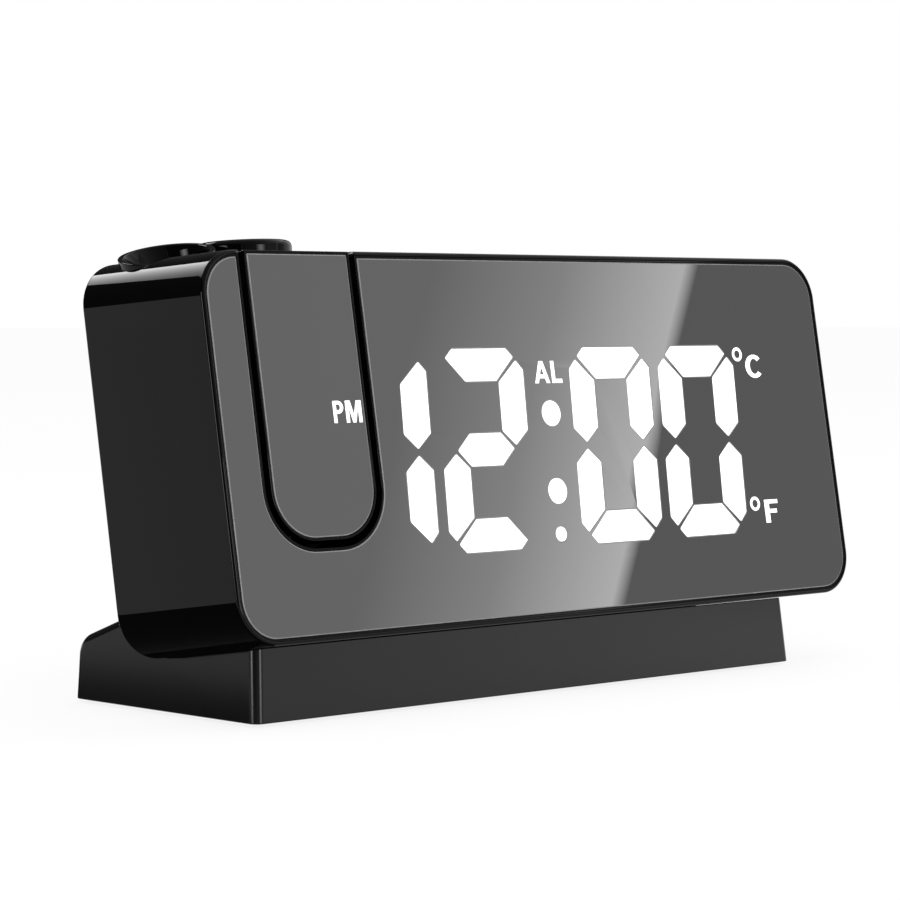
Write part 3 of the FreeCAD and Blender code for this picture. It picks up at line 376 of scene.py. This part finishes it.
easing = {                                                     # node: piece, body, slot, radius in mm
    "housing_shell": ("gloss_case", "clock", "case_black", 0),
    "front_frame": ("front_bezel", "clock", "case_black", 0.12),
    "mirror_panel": ("mirror_glass", "clock", "mirror", 0.3),
    "arm_housing": ("arm_case", "projector_arm", "case_black", 0.18),
    "arm_glass": ("arm_face", "projector_arm", "mirror", 0.3),
    "foot_shell": ("wedge_foot", "clock", "foot_black", 0.25),
    "snooze_button": ("snooze_cap", "snooze", "case_black", 0.2),
    "dial_knob": ("dial_cap", "dial", "case_black", 0.15),
    "battery_door": ("cell_door", "clock", "case_black", 0.2),
}
for node, (name, body, slot, radius) in easing.items():
    rounded(node, name, body, slot, radius)
    print("stage: eased", name)


# the round button's rim, on the seat of the CAD collar: its lip rises towards the rear, so its
# opening faces the front left corner, as it does in the photograph
rim = {"sides": 96, "lip": 0.25, "lipRows": 3, "bevelled": 40, "smooth": 35,
       "centre": (13.5, 26.0), "drop": 1.0604, "left": 12.0, "front": 4.0,
       "slantLeft": 13.0, "slantFront": 15.0, "rise": 2.4}
rimProfile = [                                                 # radius, height, whether on the slant
    (8.05, -6.5, False), (9.1, -6.5, False), (9.1, -1.1, False), (10.2, -1.1, False),
    (10.2, 0.0, True), (9.1, 0.0, True), (8.05, 0.3, False),
]


def tilted(left, front):
    # a direction tilted to the left and the front, then leaned back with the housing
    a, b = math.radians(left), math.radians(front)
    return leaned @ Vector((-math.sin(a), -math.sin(b), math.cos(a) * math.cos(b))).normalized()


def makeRim():
    axis, slant = tilted(rim["left"], rim["front"]), tilted(rim["slantLeft"], rim["slantFront"])
    turn = axis.to_track_quat("Z", "Y").to_matrix().to_4x4()
    local = turn.to_3x3().inverted() @ slant
    u, y = rim["centre"]
    z = drawn["high"] + drawn["topRise"] * y / drawn["depth"] - rim["drop"]
    bpy.ops.object.select_all(action="DESELECT")
    bpy.ops.mesh.primitive_torus_add(major_segments=rim["sides"], minor_segments=len(rimProfile))
    ring = bpy.context.object
    ring.name = "snooze_rim"
    for v in ring.data.vertices:                               # each row goes to the profile
        radius, height, slanted = rimProfile[v.index % len(rimProfile)]
        way = Vector((v.co.x, v.co.y)).normalized() * radius
        if slanted:
            height = rim["rise"] - (local.x * way.x + local.y * way.y) / local.z
        v.co = Vector((way.x, way.y, height)) * mm
    ring.matrix_world = Matrix.Translation(placed((u - drawn["half"], y, z))) @ turn
    alone(ring)
    bpy.ops.object.transform_apply(location=True, rotation=True, scale=True)
    bpy.ops.object.mode_set(mode="EDIT")
    bpy.ops.mesh.select_all(action="SELECT")
    bpy.ops.mesh.normals_make_consistent(inside=False)
    bpy.ops.object.mode_set(mode="OBJECT")
    applied(ring, "BEVEL", width=rim["lip"] * mm, segments=rim["lipRows"], limit_method="ANGLE",
            angle_limit=math.radians(rim["bevelled"]), use_clamp_overlap=False)
    bpy.ops.object.shade_smooth_by_angle(angle=math.radians(rim["smooth"]), keep_sharp_edges=False)
    applied(ring, "WEIGHTED_NORMAL", keep_sharp=True)
    dress(ring, "case_black")
    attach(ring, "clock")
    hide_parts("button_collar")


makeRim()
print("stage: rim made")


# printed labels on the glass
label = {"setback": 0.15, "half": 0.05, "rough": 0.04}         # mm back, mm each way, before scaling


def thicken(obj):
    # flat work gets a thickness, with its normals outward
    alone(obj)
    bpy.ops.object.mode_set(mode="EDIT")
    bpy.ops.mesh.select_all(action="SELECT")
    bpy.ops.mesh.extrude_region_move(TRANSFORM_OT_translate={"value": (0, 0, label["rough"])})
    bpy.ops.mesh.select_all(action="SELECT")
    bpy.ops.mesh.normals_make_consistent(inside=False)
    bpy.ops.object.mode_set(mode="OBJECT")


def settleLabel(obj, name, box, body):
    # scales flat work to its box on the face, then lays it on the glass
    left, right, low, high = box
    sides = list(zip(*(v.co for v in obj.data.vertices)))
    start = Vector([min(side) for side in sides])
    end = Vector([max(side) for side in sides])
    wanted = (right - left, high - low, 2 * label["half"])
    size = Matrix.Diagonal([want * mm / has for want, has in zip(wanted, end - start)] + [1])
    spot = placed(((left + right) / 2 - drawn["half"], label["setback"], (low + high) / 2))
    turn = Matrix.Rotation(math.radians(90 - drawn["lean"]), 4, "X")
    obj.matrix_world = Matrix.Translation(spot) @ turn @ size @ Matrix.Translation((start + end) / -2)
    alone(obj)
    bpy.ops.object.transform_apply(location=True, rotation=True, scale=True)
    obj.name = name
    obj.data.materials.clear()
    dress(obj, "lit_white")
    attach(obj, body)


letter = {                                                     # shares of a letter's height
    "stroke": 0.185, "bar": 0.16, "bowl": 0.29, "bowlStart": 0.3, "squash": 1.05, "gap": 0.13,
    "weld": 0.0001, "arcSteps": 14,
    "outlines": {                                              # outline, width, whether mirrored
        "M": ([(0, 0), (0.19, 0), (0.19, 0.74), (0.38, 0), (0.47, 0), (0.47, 0.34), (0.285, 1),
               (0, 1)], 0.94, True),
        "A": ([(0, 0), (0.2, 0), (0.275, 0.22), (0.44, 0.22), (0.44, 0.39), (0.325, 0.39),
               (0.44, 0.76), (0.44, 1), (0.33, 1)], 0.88, True),
        "L": ([(0, 0), (0.6, 0), (0.6, 0.18), (0.2, 0.18), (0.2, 1), (0, 1)], 0.6, False),
        "F": ([(0, 0), (0.2, 0), (0.2, 0.42), (0.53, 0.42), (0.53, 0.59), (0.2, 0.59),
               (0.2, 0.83), (0.6, 0.83), (0.6, 1), (0, 1)], 0.6, False),
    },
}
curved = {"P": 0.61, "C": 0.7}                                 # widths of the letters with a bend
openC = {"centre": (0.38, 0.5), "outer": (0.38, 0.5), "inner": (0.19, 0.33), "turn": (42, 318)}


def bend(cx, cy, outer, inner, start, end):
    # quads of a bent stroke between two angles
    quads, n = [], letter["arcSteps"]
    turns = [math.radians(start + (end - start) * i / n) for i in range(n + 1)]
    for a, b in zip(turns, turns[1:]):
        corners = ((outer, a), (outer, b), (inner, b), (inner, a))
        quads.append([(cx + r[0] * math.cos(t), cy + r[1] * math.sin(t)) for r, t in corners])
    return quads


def quad(x0, x1, y0, y1):
    return [(x0, y0), (x1, y0), (x1, y1), (x0, y1)]


def letterP():
    w, h, r, x = letter["stroke"], letter["bar"], letter["bowl"], letter["bowlStart"]
    levels = [0, 1 - 2 * r, 1 - 2 * r + h, 1 - h, 1]
    stem = [quad(0, w, a, b) for a, b in zip(levels, levels[1:])]
    bars = [quad(w, x, levels[1], levels[2]), quad(w, x, levels[3], 1)]
    wide = r * letter["squash"]
    return stem + bars + bend(x, 1 - r, (wide, r), (wide - w, r - h), 90, -90)


def outlinesOf(sign):
    # the flat outlines of a letter, and its width
    if sign == "P":
        return letterP(), curved[sign]
    if sign == "C":
        return bend(*openC["centre"], openC["outer"], openC["inner"], *openC["turn"]), curved[sign]
    outline, wide, mirrored = letter["outlines"][sign]
    return [outline] + [[(wide - x, y) for x, y in outline]] * mirrored, wide


letters = {                                                    # letters, body, box on the face in mm
    "label_pm": ("PM", "projector_arm", (31.2, 39.0, 44.5, 49.1)),
    "label_al": ("AL", "clock", (91.1, 99.6, 51.8, 56.7)),
    "label_c": ("C", "clock", (161.7, 167.1, 51.9, 57.4)),
    "label_f": ("F", "clock", (162.1, 166.8, 17.6, 23.0)),
}


def makeLetters(name, word, body, box):
    points, faces, start = [], [], 0.0
    for sign in word:
        outlines, wide = outlinesOf(sign)
        for outline in outlines:
            faces.append(list(range(len(points), len(points) + len(outline))))
            points += [(x + start, y, 0) for x, y in outline]
        start += wide + letter["gap"]
    data = bpy.data.meshes.new(name)
    data.from_pydata(points, [], faces)
    obj = bpy.data.objects.new(name, data)
    bpy.context.scene.collection.objects.link(obj)
    alone(obj)
    bpy.ops.object.mode_set(mode="EDIT")
    bpy.ops.mesh.select_all(action="SELECT")
    bpy.ops.mesh.remove_doubles(threshold=letter["weld"])
    bpy.ops.object.mode_set(mode="OBJECT")
    thicken(obj)
    settleLabel(obj, name, box, body)


for name, (word, body, box) in letters.items():
    makeLetters(name, word, body, box)

degree = {"radius": 1.0, "stroke": 0.42, "sides": 40,
          "places": {"degree_c": (157.5, 160.9, 55.9, 59.2), "degree_f": (157.1, 160.5, 20.6, 23.9)}}


def makeDegree(name, box):
    bpy.ops.object.select_all(action="DESELECT")
    bpy.ops.mesh.primitive_circle_add(vertices=degree["sides"], radius=degree["radius"],
                                      fill_type="NGON")
    obj = bpy.context.object
    bpy.ops.object.mode_set(mode="EDIT")
    bpy.ops.mesh.select_all(action="SELECT")
    bpy.ops.mesh.inset(thickness=degree["stroke"])
    bpy.ops.mesh.delete(type="FACE")
    bpy.ops.object.mode_set(mode="OBJECT")
    thicken(obj)
    settleLabel(obj, name, box, "clock")


for name, box in degree["places"].items():
    makeDegree(name, box)
print("stage: labels printed")


# studio: pale floor, white surround, soft lamps and the cards that gloss shows
backdrop = {"floorSize": 24, "cloth": (0.8, 0.84), "drift": 3, "glow": 1.07, "share": 0.8,
            "surroundTone": 0.95, "surroundLight": 0.75}


def seenRays(p):
    # 1 for rays that see the backdrop: camera, gloss and clear glass
    path = p.tree.nodes.new("ShaderNodeLightPath")
    rays = [Wire(p, path.outputs[n]) for n in ("Is Camera Ray", "Is Glossy Ray", "Is Transmission Ray")]
    return rays[0] + rays[1] + rays[2]


def makeFloor():
    bpy.ops.object.select_all(action="DESELECT")
    bpy.ops.mesh.primitive_plane_add(size=backdrop["floorSize"])
    floor = bpy.context.object
    floor.name = "floor"
    p = Paint("paleFloor")
    tone = p.tones(p.noise(backdrop["drift"]), *backdrop["cloth"])
    cloth = p.add("ShaderNodeBsdfDiffuse", {}, {"Color": tone})
    light = p.add("ShaderNodeEmission", {}, {"Color": grey(1), "Strength": backdrop["glow"]})
    share = p.add("ShaderNodeMath", {"operation": "MINIMUM"},
                  {0: seenRays(p) * backdrop["share"], 1: backdrop["share"]})
    both = p.add("ShaderNodeMixShader", {}, {0: share, 1: cloth, 2: light})
    p.add("ShaderNodeOutputMaterial", {}, {"Surface": both})
    floor.data.materials.append(p.material)


def makeWorld():
    world = bpy.data.worlds.new("surround")
    bpy.context.scene.world = world
    world.use_nodes = True
    p = Paint("surround", world.node_tree)
    soft = p.add("ShaderNodeBackground", {},
                 {"Color": grey(backdrop["surroundTone"]), "Strength": backdrop["surroundLight"]})
    white = p.add("ShaderNodeBackground", {}, {"Color": grey(1), "Strength": 1.0})
    share = p.add("ShaderNodeMath", {"operation": "MINIMUM"}, {0: seenRays(p), 1: 1.0})
    both = p.add("ShaderNodeMixShader", {}, {0: share, 1: soft, 2: white})
    p.add("ShaderNodeOutputWorld", {}, {"Surface": both})


def makeCard(name, centre, across, up, size, stops):
    # a card that only gloss sees; stops run from its left edge to its right
    across, up = Vector(across).normalized(), Vector(up).normalized()
    outward = across.cross(up)
    bpy.ops.object.select_all(action="DESELECT")
    bpy.ops.mesh.primitive_plane_add(size=1)
    card = bpy.context.object
    card.name = name
    turn = Matrix((across, up, outward)).transposed().to_4x4()
    card.matrix_world = Matrix.Translation(Vector(centre)) @ turn @ Matrix.Diagonal((*size, 1, 1))
    p = Paint(name)
    apart = p.add("ShaderNodeSeparateXYZ", {}, {"Vector": p.where()})
    peak = max(tone for place, tone in stops)
    shares = [(place, tone / peak) for place, tone in stops]
    ramp = p.add("ShaderNodeValToRGB", {"stops": shares}, {"Fac": apart + 0.5})
    glow = p.add("ShaderNodeEmission", {}, {"Color": ramp, "Strength": peak})
    p.add("ShaderNodeOutputMaterial", {}, {"Surface": glow})
    card.data.materials.append(p.material)
    card.visible_camera = card.visible_diffuse = card.visible_transmission = False
    card.visible_shadow = card.visible_volume_scatter = False


def makeLamp(name, place, aim, size, power):
    data = bpy.data.lights.new(name, "AREA")
    data.shape = "RECTANGLE"
    data.size, data.size_y = size
    data.energy = power
    lamp = bpy.data.objects.new(name, data)
    bpy.context.scene.collection.objects.link(lamp)
    lamp.location = place
    lamp.rotation_euler = (Vector(aim) - Vector(place)).to_track_quat("-Z", "Y").to_euler()
    lamp.visible_glossy = False


sideways, backwards, upright = (1, 0, 0), (0, 1, 0), (0, 0, 1)
forwards = (0, -1, 0)
blackFlag = [(0, 0.06), (1, 0.06)]
cards = {                                                      # name: centre, across, up, size, stops
    "mirror_card": ((1.532, -1.2425, 0.6014), (0.6606, 0.6168, -0.42795),    # a wall, bright to its
                    (0.15995, 0.44133, 0.88298), (1.6, 0.9),                 # slanted end
                    [(0.0, 0.78), (0.36, 0.8), (0.43, 1.35), (0.4995, 2.6), (0.5005, 0.56),
                     (1.0, 0.58)]),
    "ceiling_card": ((0, 0, 2.0), sideways, backwards, (6, 6), [(0, 0.3), (0.45, 0.5), (1, 1.8)]),
    "rear_flag": ((0, 1.6, 1.09), sideways, upright, (5, 1.86), blackFlag),
    "rear_softbox": ((-0.42, 1.5, 1.36), sideways, upright, (1.16, 0.7),
                     [(0, 0.8), (0.45, 4.0), (1, 9.0)]),
    "left_flag": ((-2.2, -0.2, 1.09), forwards, upright, (3.8, 1.86), blackFlag),
    "floor_flag": ((-0.15, 0.16, 0.001), sideways, backwards, (0.15, 0.42), blackFlag),
    "left_strip": ((-2.1, 0.05, 0.36), forwards, upright, (0.9, 0.5),
                   [(0, 0.5), (0.5, 14), (1, 0.5)]),
    "front_strip": ((0.0, -2.1, 0.36), sideways, upright, (0.9, 0.5),
                    [(0, 0.5), (0.5, 12), (1, 0.5)]),
    "low_card": ((1.56, -1.38, 0.13), (0.664, 0.748, 0), upright, (1.6, 0.26),
                 [(0, 1.6), (0.35, 1.8), (0.6, 2.9), (1, 2.9)]),
    "front_card": ((-0.6, -2.2, 1.09), sideways, upright, (3.2, 1.86),
                   [(0, 0.25), (0.5, 0.5), (1, 1.1)]),
}
lamps = {                                                      # name: place, aim, size, power
    "key_lamp": ((-0.9, -1.1, 1.5), (0, 0, 0.05), (1.2, 1.2), 12),
    "fill_lamp": ((1.2, -0.9, 1.2), (0, 0, 0.05), (1.2, 1.2), 6),
}
makeFloor()
makeWorld()
for name, card in cards.items():
    makeCard(name, *card)
for name, lamp in lamps.items():
    makeLamp(name, *lamp)
bpy.context.scene.view_settings.view_transform = "Standard"
print("stage: studio set")
